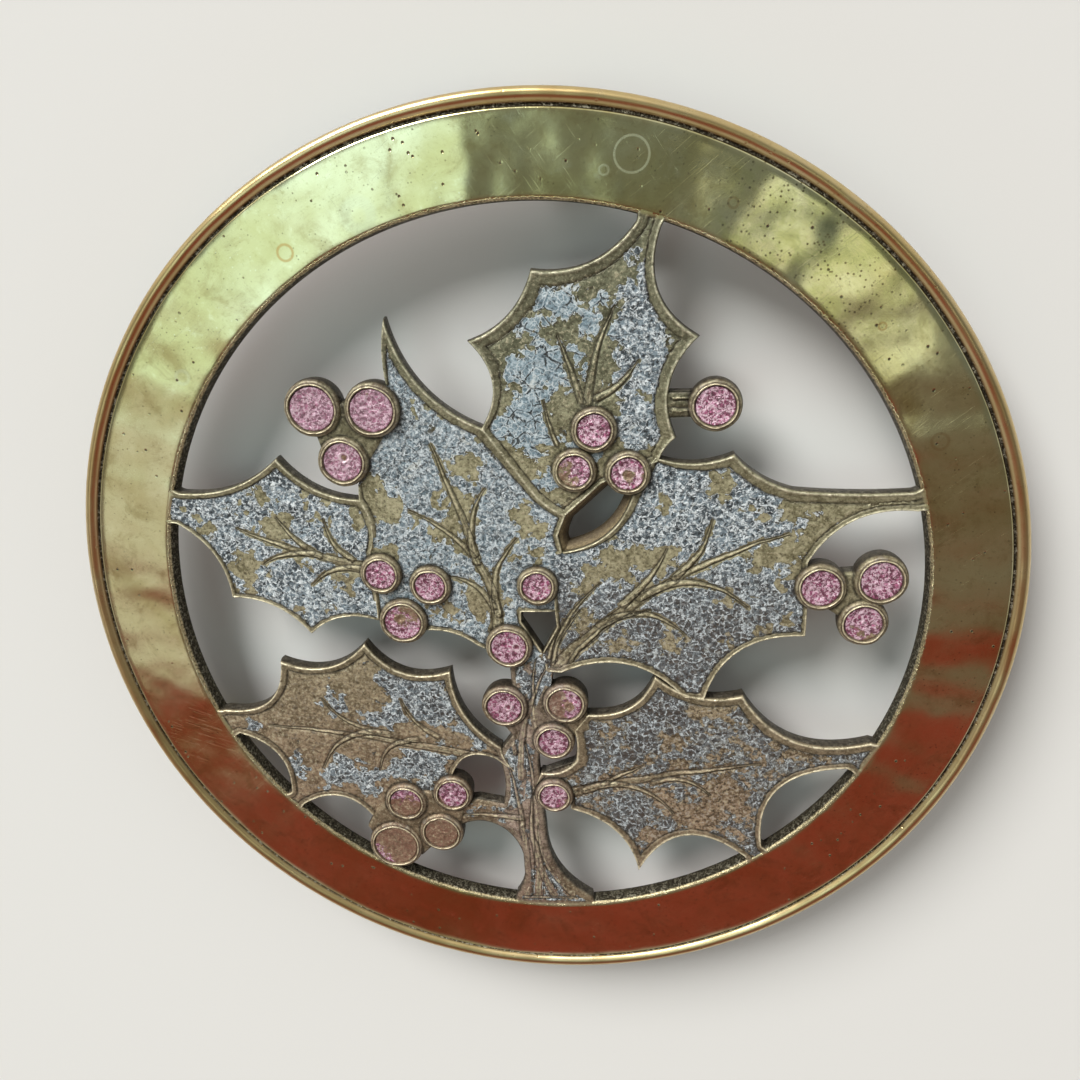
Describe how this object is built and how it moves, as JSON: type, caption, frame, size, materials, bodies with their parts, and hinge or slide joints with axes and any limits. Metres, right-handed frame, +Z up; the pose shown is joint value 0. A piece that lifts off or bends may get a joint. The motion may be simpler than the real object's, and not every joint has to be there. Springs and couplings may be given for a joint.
{
  "type": "trivet",
  "caption": "Round cast brass trivet: a flat ring with a beaded rim round an openwork spray of holly leaves and berries with enamelled fields, on short turned feet.",
  "frame": {"origin": "on the table, under the centre of the ring", "axes": "+Z up, +Y towards the leaf at the top of the ring, +X to its right seen from above"},
  "size_m": [0.178, 0.178, 0.0154],
  "materials": {
    "cast_brass": "polished ring and worn, darkened casting",
    "turned_brass": "dull turned brass",
    "silver_blue_enamel": "crackled and flaking silver-blue lacquer",
    "pink_enamel": "crinkled glittering pink lacquer"
  },
  "bodies": {
    "root": {"casting": "cast_brass", "top_leaf_enamel": "silver_blue_enamel", "centre_leaf_enamel": "silver_blue_enamel", "left_leaf_enamel": "silver_blue_enamel", "right_leaf_enamel": "silver_blue_enamel", "low_left_leaf_enamel": "silver_blue_enamel", "low_right_leaf_enamel": "silver_blue_enamel", "stem_enamel": "silver_blue_enamel", "berry_enamel_1": "pink_enamel", "berry_enamel_2": "pink_enamel", "berry_enamel_3": "pink_enamel", "berry_enamel_4": "pink_enamel", "berry_enamel_5": "pink_enamel", "berry_enamel_6": "pink_enamel", "berry_enamel_7": "pink_enamel", "berry_enamel_8": "pink_enamel", "berry_enamel_9": "pink_enamel", "berry_enamel_10": "pink_enamel", "berry_enamel_11": "pink_enamel", "berry_enamel_12": "pink_enamel", "berry_enamel_13": "pink_enamel", "berry_enamel_14": "pink_enamel", "berry_enamel_15": "pink_enamel", "berry_enamel_16": "pink_enamel", "berry_enamel_17": "pink_enamel", "berry_enamel_18": "pink_enamel", "berry_enamel_19": "pink_enamel", "berry_enamel_20": "pink_enamel", "berry_enamel_21": "pink_enamel", "berry_enamel_22": "pink_enamel", "berry_enamel_23": "pink_enamel", "foot_1": "turned_brass", "foot_2": "turned_brass", "foot_3": "turned_brass"}
  },
  "joints": []
}
